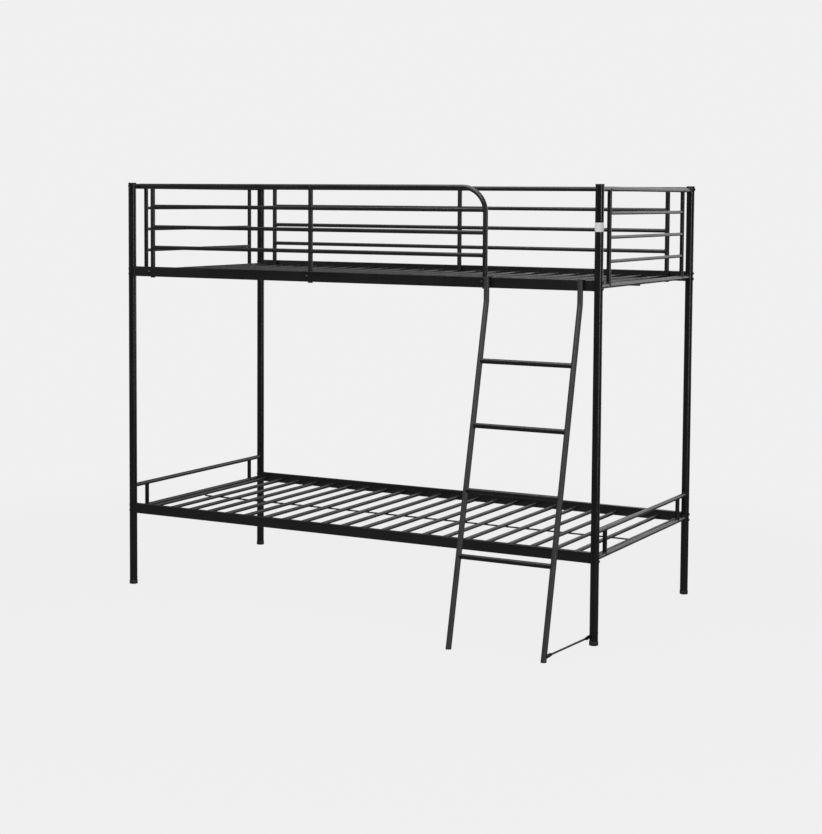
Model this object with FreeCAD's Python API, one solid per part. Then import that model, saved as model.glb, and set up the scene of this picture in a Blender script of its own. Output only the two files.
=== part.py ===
"""Single bunk bed in black powder-coated steel tube, with a lift-off ladder.

Millimetres, +Z up, +X towards the ladder end, -Y towards the ladder side.
Two welded end frames carry four side rails; each bed base is a row of slats on a pair of rails.
The origin is on the floor, at the middle of the footprint with the ladder in place.
"""
import FreeCAD, Part
import math
import os

V = FreeCAD.Vector
X_AXIS = V(1, 0, 0)
Y_AXIS = V(0, 1, 0)
Z_AXIS = V(0, 0, 1)

# Overall sizes: post axes apart along and across the bed, floor to the top of the post caps.
post_pitch_x = 1970.0
post_pitch_y = 920.0
bed_height = 1590.0

# Posts and their plastic caps.
post_d = 30.0
post_wall = 1.5
top_cap_rim = 1.0
top_cap_thickness = 4.0
top_cap_round = 1.3
top_cap_plug = 3.0
foot_cap_wall = 1.0
foot_cap_base = 4.0
foot_cap_height = 14.0

# Side rails: rectangular tube, bolted to the posts through a saddle at each end.
rail_height = 38.0
rail_depth = 20.0
rail_wall = 1.5
lower_rail_z = 304.5
upper_rail_drop = 346.5
saddle_thickness = 6.0

# Slats of both bed bases, and the rod welded under them.
slat_d = 14.0
slat_wall = 1.0
slat_count = 23
end_slat_inset = 26.0
slat_drop = 7.0
rod_d = 6.0

# Tubes of the end frames.
end_tube_d = 16.0
end_tube_wall = 1.2
end_tube_drop = 3.0
end_top_drop = 16.0
end_bar_d = 12.0
end_bar_count = 3
end_upright_inset = 90.0
low_guard_rise = 88.5
strut_d = 16.0

# Guard frames along the two long sides of the upper bed.
guard_tube_d = 18.0
guard_wall = 1.2
guard_drop = 12.5
guard_bar_d = 15.0
guard_bar_count = 3
guard_bar_pitch = 80.0
guard_upright_inset = 85.0
guard_ladder_gap = 27.5
guard_bend_r = 90.0
upright_overhang = 5.0
tab_thickness = 5.0
tab_height = 16.0

# Fasteners: M6 dome-head bolts and hexagon nuts.
bolt_d = 6.0
bolt_hole_d = 6.6
bolt_head_d = 12.0
bolt_head_height = 4.0
bolt_socket_flats = 4.0
bolt_socket_depth = 2.2
bolt_skirt = 3.0
bolt_tip = 2.0
nut_flats = 10.0
nut_thickness = 5.0
nut_bore_d = 6.1
rail_bolt_pitch = 21.0

# Ladder: two bent stiles, four rungs, a hook strap on each stile.
ladder_inset = 235.0
ladder_width = 355.0
stile_d = 20.0
stile_wall = 1.5
stile_angle = 13.0
stile_bend_drop = 65.5
stile_bend_r = 45.0
rung_d = 18.0
rung_wall = 1.2
rung_count = 4
first_rung_z = 309.0
top_rung_drop = 271.5
hook_width = 20.0
hook_thickness = 3.0
hook_lip = 25.0
hook_leg = 36.0
hook_bend_r = 2.4
stile_cap_thickness = 2.5
stile_cap_plug = 7.5
ladder_foot_rim = 5.0
ladder_foot_plug = 8.0

# Tie bar from the foot of the right stile to the front right post.
tie_d = 7.0
tie_flat_thickness = 3.0
tie_flat_width = 14.0
tie_flat_length = 30.0
tie_flat_overlap = 8.5
tie_foot_z = 21.0
tie_post_z = 27.0

# Blank paper label round the front right post.
label_thickness = 0.3
label_height = 33.0
label_drop = 147.0

# Clearances.
weld_gap = 0.1
cap_fit = 0.1
hook_gap = 0.4
tie_gap = 0.4
keep_clear = 0.4
overcut = 1.0

# Places that follow from the sizes above. side is -1 at the front or left, +1 at the rear or right.
post_r = post_d / 2
post_x = post_pitch_x / 2
post_y = post_pitch_y / 2
post_top_z = bed_height - top_cap_thickness
top_cap_d = post_d + 2 * top_cap_rim
upper_rail_z = bed_height - upper_rail_drop
rail_end_x = post_x - post_r - saddle_thickness
rail_inner_y = post_y - rail_depth / 2
rail_outer_y = post_y + rail_depth / 2
end_slat_x = post_x - end_slat_inset
slat_pitch = 2 * end_slat_x / (slat_count - 1)
end_upright_y = post_y - end_upright_inset
end_top_z = bed_height - end_top_drop
upper_end_z = upper_rail_z - end_tube_drop
end_bar_pitch = (end_top_z - upper_end_z) / (end_bar_count + 1)
guard_z = bed_height - guard_drop
guard_y = rail_inner_y - weld_gap - guard_tube_d / 2
guard_end_x = post_x - post_r - tab_thickness
guard_foot_z = upper_rail_z - rail_height / 2 - upright_overhang
ladder_x = post_x - ladder_inset
stile_xs = [ladder_x - ladder_width / 2, ladder_x + ladder_width / 2]
guard_open_end_x = stile_xs[0] - guard_ladder_gap
outer_upright_x = post_x - guard_upright_inset
front_upright_xs = [-outer_upright_x, (guard_open_end_x - outer_upright_x) / 2]
rear_upright_xs = [-outer_upright_x, 0.0, outer_upright_x]
stile_slope = math.tan(math.radians(stile_angle))
stile_top_y = -(rail_outer_y + hook_gap + hook_thickness + weld_gap + stile_d / 2)
stile_bend_z = upper_rail_z - stile_bend_drop
stile_foot_y = stile_top_y - stile_slope * stile_bend_z
rung_pitch = (upper_rail_z - top_rung_drop - first_rung_z) / (rung_count - 1)
upper_rail_top = upper_rail_z + rail_height / 2
foot_cap_d = post_d + 2 * (cap_fit + foot_cap_wall)
footprint_front = stile_foot_y - stile_d / 2 / math.cos(math.radians(stile_angle))
footprint_rear = post_y + foot_cap_d / 2
origin_shift = V(0, -(footprint_front + footprint_rear) / 2, 0)


def save(node, solids):
    """Write one node, a group of separate solids, with the origin at the middle of the footprint."""
    group = Part.makeCompound(solids)
    group.translate(origin_shift)
    group.exportStep("parts/" + node + ".step")


def rod(start, end, diameter):
    """Solid round bar between two points."""
    along = end - start
    return Part.makeCylinder(diameter / 2, along.Length, start, along)


def tube(start, end, diameter, wall):
    """Round tube between two points, open at both ends."""
    return rod(start, end, diameter).cut(rod(start, end, diameter - 2 * wall))


def block(corner, opposite):
    """Box between any two opposite corners."""
    low = V(min(corner.x, opposite.x), min(corner.y, opposite.y), min(corner.z, opposite.z))
    high = V(max(corner.x, opposite.x), max(corner.y, opposite.y), max(corner.z, opposite.z))
    size = high - low
    return Part.makeBox(size.x, size.y, size.z, low)


def post_core(side_x, side_y, gap):
    """Room that a post takes, grown by a gap, to cope the pieces that meet the post."""
    foot = V(side_x * post_x, side_y * post_y, 0)
    return Part.makeCylinder(post_r + gap, bed_height, foot, Z_AXIS)


def cope(shape, cutters):
    """Cut a piece back from all that it is welded to, and leave out the offcuts."""
    for cutter in cutters:
        shape = shape.cut(cutter)
    return max(shape.Solids, key=lambda solid: solid.Volume)


def swept_tube(points, bend_r, diameter, wall):
    """Tube along straight runs with one round bend at the middle point, and the same rod unhollowed."""
    start, corner, end = points
    back = (start - corner).normalize()
    onward = (end - corner).normalize()
    half_angle = back.getAngle(onward) / 2
    setback = bend_r / math.tan(half_angle)
    arc_start = corner + back * setback
    arc_end = corner + onward * setback
    bisector = (back + onward).normalize()
    centre = corner + bisector * (bend_r / math.sin(half_angle))
    arc_middle = centre - bisector * bend_r
    path = Part.Wire([
        Part.LineSegment(start, arc_start).toShape(),
        Part.Arc(arc_start, arc_middle, arc_end).toShape(),
        Part.LineSegment(arc_end, end).toShape(),
    ])

    def sweep(radius):
        ring = Part.Wire([Part.Circle(start, back, radius).toShape()])
        return path.makePipeShell([ring], True, False)

    solid = sweep(diameter / 2)
    if wall == 0:
        return solid
    return solid.cut(sweep(diameter / 2 - wall))


def hexagon(centre, axis, flats, length):
    """Hexagonal prism along an axis, from the centre of its first face."""
    corner_r = flats / math.sqrt(3)
    across = Z_AXIS
    if abs(axis.z) > 0.5:
        across = X_AXIS
    sideways = axis.cross(across)
    outline = []
    for step in range(7):
        angle = step * math.pi / 3
        outline.append(centre + (across * math.cos(angle) + sideways * math.sin(angle)) * corner_r)
    return Part.Face(Part.makePolygon(outline)).extrude(axis * length)


def nut(seat, axis):
    """Hexagon nut that bears on the seat and extends along the axis."""
    bore = Part.makeCylinder(nut_bore_d / 2, nut_thickness, seat, axis)
    return hexagon(seat, axis, nut_flats, nut_thickness).cut(bore)


def dome_bolt(seat, axis, grip, saddle=None):
    """Dome-head socket bolt. The head bears at the seat and the shank runs along the axis through the grip.

    A saddle is the round tube that the underside of the head is shaped to.
    """
    head_r = bolt_head_d / 2
    dome_r = (head_r ** 2 + bolt_head_height ** 2) / (2 * bolt_head_height)
    skirt = 0.0 if saddle is None else bolt_skirt
    head = Part.makeCylinder(head_r, bolt_head_height + skirt, seat + axis * skirt, axis * -1)
    dome_centre = seat - axis * (bolt_head_height - dome_r)
    upper = Part.makeCylinder(head_r, bolt_head_height, seat, axis * -1)
    crown = upper.common(Part.makeSphere(dome_r, dome_centre))
    head = head.cut(upper).fuse(crown)
    if saddle is not None:
        head = head.cut(saddle)
    socket_mouth = seat - axis * bolt_head_height
    head = head.cut(hexagon(socket_mouth, axis, bolt_socket_flats, bolt_socket_depth))
    shank_start = bolt_socket_depth - bolt_head_height
    shank = Part.makeCylinder(bolt_d / 2, grip + bolt_tip - shank_start, seat + axis * shank_start, axis)
    return head.fuse(shank).removeSplitter()


def hole(point, axis, length):
    """Clearance hole for a bolt, centred on a point."""
    return Part.makeCylinder(bolt_hole_d / 2, length, point - axis * (length / 2), axis)


# --- posts and caps --------------------------------------------------------------------------------

def rail_bolt_zs():
    """Heights of the two bolts at each side rail's end."""
    return [rail_z + offset for rail_z in (lower_rail_z, upper_rail_z)
            for offset in (-rail_bolt_pitch / 2, rail_bolt_pitch / 2)]


def guard_bolted(side_x, side_y):
    """The guard rail meets every post but the one beside the ladder gap."""
    return not (side_x > 0 and side_y < 0)


def post(side_x, side_y):
    """Round post with bolt holes across it, along X."""
    foot = V(side_x * post_x, side_y * post_y, foot_cap_base)
    shape = tube(foot, V(foot.x, foot.y, post_top_z), post_d, post_wall)
    for z in rail_bolt_zs():
        shape = shape.cut(hole(V(foot.x, foot.y, z), X_AXIS, 2 * post_d))
    if guard_bolted(side_x, side_y):
        shape = shape.cut(hole(V(foot.x, foot.y, guard_z), X_AXIS, 2 * post_d))
    if side_x > 0 and side_y < 0:
        shape = shape.cut(hole(V(foot.x - post_r, foot.y, tie_post_z), X_AXIS, post_r))
    return shape


def top_cap(side_x, side_y):
    """Rimmed plug in the top of a post."""
    base = V(side_x * post_x, side_y * post_y, post_top_z)
    rim = Part.makeCylinder(top_cap_d / 2, top_cap_thickness, base)
    top_edges = [edge for edge in rim.Edges if edge.BoundBox.ZMin > post_top_z]
    rim = rim.makeFillet(top_cap_round, [edge for edge in top_edges if edge.BoundBox.ZLength < weld_gap])
    plug_r = post_r - post_wall - cap_fit
    plug = Part.makeCylinder(plug_r, top_cap_plug, base - Z_AXIS * top_cap_plug)
    return rim.fuse(plug).removeSplitter()


def foot_cap(side_x, side_y):
    """Cup under a post, which the bed stands on."""
    base = V(side_x * post_x, side_y * post_y, 0)
    cup = Part.makeCylinder(foot_cap_d / 2, foot_cap_height, base)
    recess = Part.makeCylinder(post_r + cap_fit, foot_cap_height, base + Z_AXIS * foot_cap_base)
    return cup.cut(recess)


corners = [(side_x, side_y) for side_x in (-1, 1) for side_y in (-1, 1)]


# --- side rails, saddles, slats ---------------------------------------------------------------------

def upright_bolt_xs(side_y):
    """Where the guard uprights are bolted to the upper side rail."""
    if side_y < 0:
        return front_upright_xs + [guard_open_end_x]
    return rear_upright_xs


def side_rail(side_y, rail_z, bolted):
    """Rectangular tube between the saddles, with bolt holes where guard uprights are fixed."""
    half = rail_depth / 2
    low = V(-rail_end_x, side_y * post_y - half, rail_z - rail_height / 2)
    high = V(rail_end_x, side_y * post_y + half, rail_z + rail_height / 2)
    inset = V(0, rail_wall, rail_wall)
    shape = block(low, high).cut(block(low + inset, high - inset))
    if bolted:
        for x in upright_bolt_xs(side_y):
            shape = shape.cut(hole(V(x, side_y * post_y, rail_z), Y_AXIS, 2 * rail_depth))
    return shape


def saddle(side_x, side_y, rail_z):
    """End block of a side rail, hollowed to seat on the post, with two bolt holes."""
    half = rail_depth / 2
    near = V(side_x * rail_end_x, side_y * post_y - half, rail_z - rail_height / 2)
    far = V(side_x * post_x, side_y * post_y + half, rail_z + rail_height / 2)
    shape = cope(block(near, far), [post_core(side_x, side_y, weld_gap)])
    for offset in (-rail_bolt_pitch / 2, rail_bolt_pitch / 2):
        shape = shape.cut(hole(V(side_x * rail_end_x, side_y * post_y, rail_z + offset), X_AXIS, 2 * post_d))
    return shape


def slats(rail_z, cutters):
    """Tubes across the bed, from rail to rail."""
    z = rail_z - slat_drop
    group = []
    for index in range(slat_count):
        x = -end_slat_x + index * slat_pitch
        slat = tube(V(x, -rail_inner_y, z), V(x, rail_inner_y, z), slat_d, slat_wall)
        near = [cutter for cutter in cutters if slat.BoundBox.intersect(cutter.BoundBox)]
        group.append(cope(slat, near))
    return group


def centre_rod(rail_z):
    """Thin rod under the middle of the slats, from the first slat to the last."""
    z = rail_z - slat_drop - slat_d / 2 - weld_gap - rod_d / 2
    return rod(V(-end_slat_x, 0, z), V(end_slat_x, 0, z), rod_d)


def rail_fasteners():
    """Bolts through each post into the side rails, and their nuts inside the rails."""
    bolts = []
    nuts = []
    for side_x, side_y in corners:
        inward = X_AXIS * -side_x
        for z in rail_bolt_zs():
            seat = V(side_x * (post_x + post_r), side_y * post_y, z)
            grip = abs(seat.x) - rail_end_x + nut_thickness
            bolts.append(dome_bolt(seat, inward, grip, post_core(side_x, side_y, weld_gap)))
            nuts.append(nut(V(side_x * rail_end_x, side_y * post_y, z), inward))
    return bolts, nuts


# --- end frames ---------------------------------------------------------------------------------------

def end_tube(side_x, z):
    """Cross tube of an end frame, from post to post."""
    x = side_x * post_x
    shape = tube(V(x, -post_y, z), V(x, post_y, z), end_tube_d, end_tube_wall)
    return cope(shape, [post_core(side_x, -1, weld_gap), post_core(side_x, 1, weld_gap)])


def end_verticals(side_x, low_z, high_z, diameter):
    """Pair of short tubes between two cross tubes of an end frame."""
    x = side_x * post_x
    cutters = [rod(V(x, -post_y, z), V(x, post_y, z), end_tube_d + 2 * weld_gap) for z in (low_z, high_z)]
    return [cope(tube(V(x, y, low_z), V(x, y, high_z), diameter, end_tube_wall), cutters)
            for y in (-end_upright_y, end_upright_y)]


def end_bars(side_x):
    """Horizontal bars between the two uprights of an end guard."""
    x = side_x * post_x
    cutters = [rod(V(x, y, upper_end_z), V(x, y, end_top_z), end_tube_d + 2 * weld_gap)
               for y in (-end_upright_y, end_upright_y)]
    bars = []
    for index in range(1, end_bar_count + 1):
        z = end_top_z - index * end_bar_pitch
        bar = tube(V(x, -end_upright_y, z), V(x, end_upright_y, z), end_bar_d, end_tube_wall)
        bars.append(cope(bar, cutters))
    return bars


# --- side guards --------------------------------------------------------------------------------------

def guard_tab(side_x, side_y):
    """Plate at the end of a guard rail, hollowed to seat on the post, with a hole for its bolt."""
    x = side_x * guard_end_x
    y = side_y * post_y
    near = V(x, side_y * (guard_y - guard_tube_d / 2), guard_z - tab_height / 2)
    far = V(x + side_x * 2 * tab_thickness, y + side_y * tab_height / 2, guard_z + tab_height / 2)
    shape = cope(block(near, far), [post_core(side_x, side_y, weld_gap)])
    return shape.cut(hole(V(x, y, guard_z), X_AXIS, 2 * post_d))


def front_guard_path():
    """Top rail from the left post, bent down to the open end beside the ladder."""
    return [V(-guard_end_x, -guard_y, guard_z), V(guard_open_end_x, -guard_y, guard_z),
            V(guard_open_end_x, -guard_y, guard_foot_z)]


def rear_guard_ends():
    """Both ends of the rear guard's top rail."""
    return V(-guard_end_x, guard_y, guard_z), V(guard_end_x, guard_y, guard_z)


def upright_core(x, side_y, gap):
    """Room that an upright takes, grown by a gap."""
    return rod(V(x, side_y * guard_y, guard_foot_z), V(x, side_y * guard_y, guard_z), guard_tube_d + 2 * gap)


def bolted_tube(shape, x, side_y):
    """Drill a guard upright for the bolt that fixes it to the upper side rail."""
    return shape.cut(hole(V(x, side_y * guard_y, upper_rail_z), Y_AXIS, 2 * guard_tube_d))


def guard_uprights(xs, side_y, top_rail):
    """Uprights that hang from the guard's top rail and pass down the inner face of the side rail."""
    group = []
    for x in xs:
        upright = tube(V(x, side_y * guard_y, guard_foot_z), V(x, side_y * guard_y, guard_z),
                       guard_tube_d, guard_wall)
        group.append(bolted_tube(upright.cut(top_rail), x, side_y))
    return group


def guard_bars(xs, side_y, cutters):
    """Horizontal bars between neighbouring uprights."""
    bars = []
    for left, right in zip(xs, xs[1:]):
        for index in range(1, guard_bar_count + 1):
            z = guard_z - index * guard_bar_pitch
            bar = tube(V(left, side_y * guard_y, z), V(right, side_y * guard_y, z), guard_bar_d, guard_wall)
            bars.append(cope(bar, cutters))
    return bars


def upright_fasteners():
    """Bolts through the upper side rails and the uprights, with their nuts."""
    bolts = []
    nuts = []
    for side_y in (-1, 1):
        inward = Y_AXIS * -side_y
        for x in upright_bolt_xs(side_y):
            seat = V(x, side_y * rail_outer_y, upper_rail_z)
            nut_seat_y = guard_y - guard_tube_d / 2
            bolts.append(dome_bolt(seat, inward, rail_outer_y - nut_seat_y + nut_thickness))
            nuts.append(nut(V(x, side_y * nut_seat_y, upper_rail_z), inward))
    return bolts, nuts


def nut_rooms():
    """Room for the nuts of the uprights, and for a spanner's first turn, to cope the slats."""
    nut_r = nut_flats / math.sqrt(3) + keep_clear
    length = 2 * guard_tube_d
    return [Part.makeCylinder(nut_r, length, V(x, side_y * rail_inner_y, upper_rail_z), Y_AXIS * -side_y)
            for side_y in (-1, 1) for x in upright_bolt_xs(side_y)]


def guard_end_fasteners():
    """Bolts through the posts into the tabs of the guard rails, with their nuts."""
    bolts = []
    nuts = []
    for side_x, side_y in corners:
        if guard_bolted(side_x, side_y):
            inward = X_AXIS * -side_x
            seat = V(side_x * (post_x + post_r), side_y * post_y, guard_z)
            grip = abs(seat.x) - guard_end_x + nut_thickness
            bolts.append(dome_bolt(seat, inward, grip, post_core(side_x, side_y, weld_gap)))
            nuts.append(nut(V(side_x * guard_end_x, side_y * post_y, guard_z), inward))
    return bolts, nuts


# --- ladder -------------------------------------------------------------------------------------------

def stile_y(z):
    """Y of a stile's axis in its sloping part."""
    return stile_top_y - stile_slope * (stile_bend_z - z)


def below_floor(x):
    """Where the slope of a stile would end, below the floor, before it is cut level."""
    return V(x, stile_y(-stile_d), -stile_d)


def ground(x, top):
    """Block under a stile that cuts its foot level."""
    reach = 3 * stile_d
    return block(V(x - reach, stile_foot_y - reach, -reach), V(x + reach, stile_foot_y + reach, top))


def stile(x, wall, grow):
    """Stile up the slope from its foot plug, then upright in front of the upper rail, grown by a gap."""
    points = [V(x, stile_top_y, upper_rail_top), V(x, stile_top_y, stile_bend_z), below_floor(x)]
    shape = swept_tube(points, stile_bend_r, stile_d + 2 * grow, wall)
    return shape.cut(ground(x, ladder_foot_rim))


def ladder_foot(x):
    """Plug in the foot of a stile: a rim as wide as the tube, cut level, and a part that fits the bore."""
    low = below_floor(x)
    high = V(x, stile_y(stile_d), stile_d)
    rim = rod(low, high, stile_d).common(ground(x, ladder_foot_rim))
    plug_d = stile_d - 2 * (stile_wall + cap_fit)
    plug = rod(low, high, plug_d).common(ground(x, ladder_foot_rim + ladder_foot_plug))
    return rim.fuse(plug).cut(ground(x, 0)).removeSplitter()


def hook(x):
    """Steel strap welded to the back of a stile, over the upper rail and down its inner face."""
    front = -(rail_outer_y + hook_gap)
    back = -(rail_inner_y - hook_gap)
    top = upper_rail_top + hook_gap
    half = hook_width / 2
    outer = block(V(x - half, front - hook_thickness, upper_rail_top - hook_leg),
                  V(x + half, back + hook_thickness, top + hook_thickness))
    below = upper_rail_top - hook_leg - overcut
    inside = block(V(x - half, front, below), V(x + half, back, top))
    lip_end = upper_rail_top - hook_lip
    short_lip = block(V(x - half, back, below), V(x + half, back + hook_thickness, lip_end))
    strap = outer.cut(inside).cut(short_lip)
    at_top = [edge for edge in strap.Edges if edge.BoundBox.ZMin > top + hook_thickness - weld_gap]
    bends = [edge for edge in at_top if edge.BoundBox.YLength < weld_gap]
    return strap.makeFillet(hook_bend_r, bends)


def stile_cap(x):
    """Plug in the open top of a stile."""
    base = V(x, stile_top_y, upper_rail_top)
    rim = Part.makeCylinder(stile_d / 2, stile_cap_thickness, base)
    plug_r = stile_d / 2 - stile_wall - cap_fit
    plug = Part.makeCylinder(plug_r, stile_cap_plug, base - Z_AXIS * stile_cap_plug)
    return rim.fuse(plug).removeSplitter()


def rungs():
    """Straight tubes between the stiles, evenly spaced up the slope."""
    cutters = [stile(x, 0, weld_gap) for x in stile_xs]
    group = []
    for index in range(rung_count):
        z = first_rung_z + index * rung_pitch
        y = stile_y(z)
        rung = tube(V(stile_xs[0], y, z), V(stile_xs[1], y, z), rung_d, rung_wall)
        group.append(cope(rung, cutters))
    return group


def tie_bar():
    """Rod with two flattened ends: an eye on the stile, a downward slot that hangs on the post's bolt."""
    stile_face = stile_xs[1] + stile_d / 2 + tie_gap
    post_face = post_x - post_r - tie_gap
    eye = V(stile_face + tie_flat_thickness / 2, stile_y(tie_foot_z), tie_foot_z)
    slot = V(post_face - tie_flat_thickness / 2, -post_y, tie_post_z)
    run = V(0, slot.y - eye.y, slot.z - eye.z).normalize()
    rise = X_AXIS.cross(run)
    half = tie_flat_width / 2

    def flat(centre, direction):
        near_face = centre - X_AXIS * (tie_flat_thickness / 2)
        corner = near_face - rise * half
        far_corner = corner + direction * tie_flat_length
        width = rise * tie_flat_width
        plate = Part.Face(Part.makePolygon([corner, far_corner, far_corner + width, corner + width, corner]))
        round_end = Part.makeCylinder(half, tie_flat_thickness, near_face, X_AXIS)
        return plate.extrude(X_AXIS * tie_flat_thickness).fuse(round_end)

    tuck = tie_flat_length - tie_flat_overlap
    bar = rod(eye + run * tuck, slot - run * tuck, tie_d)
    bar = bar.fuse(flat(eye, run)).fuse(flat(slot, run * -1)).removeSplitter()
    slot_mouth = block(slot - V(tie_d, bolt_hole_d / 2, tie_flat_width), slot + V(tie_d, bolt_hole_d / 2, 0))
    return bar.cut(hole(eye, X_AXIS, 2 * tie_d)).cut(hole(slot, X_AXIS, 2 * tie_d)).cut(slot_mouth)


def tie_fasteners():
    """Bolt at the stile's foot with its nut inside the tube, and the bolt in the post for the slot."""
    foot = V(stile_xs[1], stile_y(tie_foot_z), tie_foot_z)
    head_seat = foot + X_AXIS * (stile_d / 2 + 2 * tie_gap + tie_flat_thickness)
    bore_r = stile_d / 2 - stile_wall
    nut_seat = foot + X_AXIS * (math.sqrt(bore_r ** 2 - nut_flats ** 2 / 3) - keep_clear)
    foot_bolt = dome_bolt(head_seat, X_AXIS * -1, head_seat.x - nut_seat.x + nut_thickness)
    foot_nut = nut(nut_seat, X_AXIS * -1)
    head_x = post_x - post_r - 2 * tie_gap - tie_flat_thickness
    post_bolt = dome_bolt(V(head_x, -post_y, tie_post_z), X_AXIS, post_r)
    return foot_bolt, foot_nut, post_bolt


def drilled_stile(x):
    """Stile with the hole for the tie bar's bolt in the right-hand one."""
    shape = stile(x, stile_wall, 0)
    if x > ladder_x:
        shape = shape.cut(hole(V(x + stile_d / 2, stile_y(tie_foot_z), tie_foot_z), X_AXIS, stile_d))
    return shape


def label():
    """Blank label wrapped round the front right post."""
    base = V(post_x, -post_y, bed_height - label_drop - label_height / 2)
    outer = Part.makeCylinder(post_r + weld_gap + label_thickness, label_height, base)
    return outer.cut(Part.makeCylinder(post_r + weld_gap, label_height, base))


# --- all nodes ----------------------------------------------------------------------------------------

os.makedirs("parts", exist_ok=True)

side_names = {-1: "left", 1: "right"}
depth_names = {-1: "front", 1: "rear"}

for side_x, side_y in corners:
    save("post_" + depth_names[side_y] + "_" + side_names[side_x], [post(side_x, side_y)])
save("post_top_caps", [top_cap(*corner) for corner in corners])
save("post_foot_caps", [foot_cap(*corner) for corner in corners])

front_guard_rail = swept_tube(front_guard_path(), guard_bend_r, guard_tube_d, guard_wall)
front_guard_room = swept_tube(front_guard_path(), guard_bend_r, guard_tube_d + 2 * weld_gap, 0)
rear_guard_rail = tube(*rear_guard_ends(), guard_tube_d, guard_wall)
rear_guard_room = rod(*rear_guard_ends(), guard_tube_d + 2 * weld_gap)
front_uprights_room = [upright_core(x, -1, weld_gap) for x in front_upright_xs]
rear_uprights_room = [upright_core(x, 1, weld_gap) for x in rear_upright_xs]
slat_cutters = front_uprights_room + rear_uprights_room + [front_guard_room] + nut_rooms()

for side_y in (-1, 1):
    save("lower_" + depth_names[side_y] + "_rail", [side_rail(side_y, lower_rail_z, False)])
    save("upper_" + depth_names[side_y] + "_rail", [side_rail(side_y, upper_rail_z, True)])
save("rail_end_saddles", [saddle(side_x, side_y, z) for side_x, side_y in corners
                          for z in (lower_rail_z, upper_rail_z)])
save("lower_slats", slats(lower_rail_z, []))
save("upper_slats", slats(upper_rail_z, slat_cutters))
save("lower_centre_rod", [centre_rod(lower_rail_z)])
save("upper_centre_rod", [centre_rod(upper_rail_z)])
rail_bolts, rail_nuts = rail_fasteners()
save("rail_bolts", rail_bolts)
save("rail_nuts", rail_nuts)

lower_end_z = lower_rail_z - end_tube_drop
low_guard_z = lower_rail_z + low_guard_rise
for side_x in (-1, 1):
    end = side_names[side_x]
    save(end + "_lower_end_tube", [end_tube(side_x, lower_end_z)])
    save(end + "_low_guard_tube", [end_tube(side_x, low_guard_z)])
    save(end + "_low_guard_struts", end_verticals(side_x, lower_end_z, low_guard_z, strut_d))
    save(end + "_upper_end_tube", [end_tube(side_x, upper_end_z)])
    save(end + "_end_top_tube", [end_tube(side_x, end_top_z)])
    save(end + "_end_uprights", end_verticals(side_x, upper_end_z, end_top_z, end_tube_d))
    save(end + "_end_bars", end_bars(side_x))

save("front_guard_rail", [bolted_tube(front_guard_rail, guard_open_end_x, -1)])
save("front_guard_uprights", guard_uprights(front_upright_xs, -1, front_guard_room))
save("front_guard_bars", guard_bars(front_upright_xs + [guard_open_end_x], -1,
                                    front_uprights_room + [front_guard_room]))
save("rear_guard_rail", [rear_guard_rail])
save("rear_guard_uprights", guard_uprights(rear_upright_xs, 1, rear_guard_room))
save("rear_guard_bars", guard_bars(rear_upright_xs, 1, rear_uprights_room))
save("guard_end_tabs", [guard_tab(*corner) for corner in corners if guard_bolted(*corner)])
upright_bolts, upright_nuts = upright_fasteners()
guard_end_bolts, guard_end_nuts = guard_end_fasteners()
save("guard_bolts", upright_bolts + guard_end_bolts)
save("guard_nuts", upright_nuts + guard_end_nuts)

save("ladder_left_stile", [drilled_stile(stile_xs[0])])
save("ladder_right_stile", [drilled_stile(stile_xs[1])])
save("ladder_rungs", rungs())
save("ladder_hooks", [hook(x) for x in stile_xs])
save("ladder_top_caps", [stile_cap(x) for x in stile_xs])
save("ladder_feet", [ladder_foot(x) for x in stile_xs])
tie_foot_bolt, tie_foot_nut, tie_post_bolt = tie_fasteners()
save("tie_bar", [tie_bar()])
save("tie_bar_foot_bolt", [tie_foot_bolt])
save("tie_bar_foot_nut", [tie_foot_nut])
save("tie_bar_post_bolt", [tie_post_bolt])
save("post_label", [label()])
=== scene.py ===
"""Black steel bunk bed with a lift-off ladder: finish, welds, caps, label and studio."""
import bmesh
import bpy
import math
from mathutils import Matrix, Vector


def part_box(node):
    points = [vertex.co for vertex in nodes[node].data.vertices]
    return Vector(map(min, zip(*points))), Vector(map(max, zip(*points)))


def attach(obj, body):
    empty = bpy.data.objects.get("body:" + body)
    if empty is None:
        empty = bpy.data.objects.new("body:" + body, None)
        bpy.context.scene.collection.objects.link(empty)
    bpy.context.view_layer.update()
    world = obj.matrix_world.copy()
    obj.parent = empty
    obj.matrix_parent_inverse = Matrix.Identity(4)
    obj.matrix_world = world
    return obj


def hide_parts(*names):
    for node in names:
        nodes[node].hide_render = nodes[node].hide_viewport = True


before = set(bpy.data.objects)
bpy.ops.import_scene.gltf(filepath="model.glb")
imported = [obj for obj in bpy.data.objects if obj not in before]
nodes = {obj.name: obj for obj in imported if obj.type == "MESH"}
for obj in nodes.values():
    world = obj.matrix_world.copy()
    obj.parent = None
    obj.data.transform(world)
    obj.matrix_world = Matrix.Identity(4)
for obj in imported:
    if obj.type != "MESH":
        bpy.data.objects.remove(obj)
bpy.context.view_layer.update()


# --- Powder coat -----------------------------------------------------------------------------------
# The steel is sprayed with black polyester powder and baked: semi-gloss, with a fine orange peel,
# a grain of pigment, cloudy patches in its gloss, and a little dust on whatever faces up.

def named_value(group, name, kind, default):
    """Input socket of a node group, with its default."""
    socket = group.interface.new_socket(name, in_out="INPUT", socket_type="NodeSocket" + kind)
    socket.default_value = default
    return socket


def link_in_order(tree, *steps):
    """Link pairs of sockets."""
    for source, target in steps:
        tree.links.new(source, target)


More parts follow.
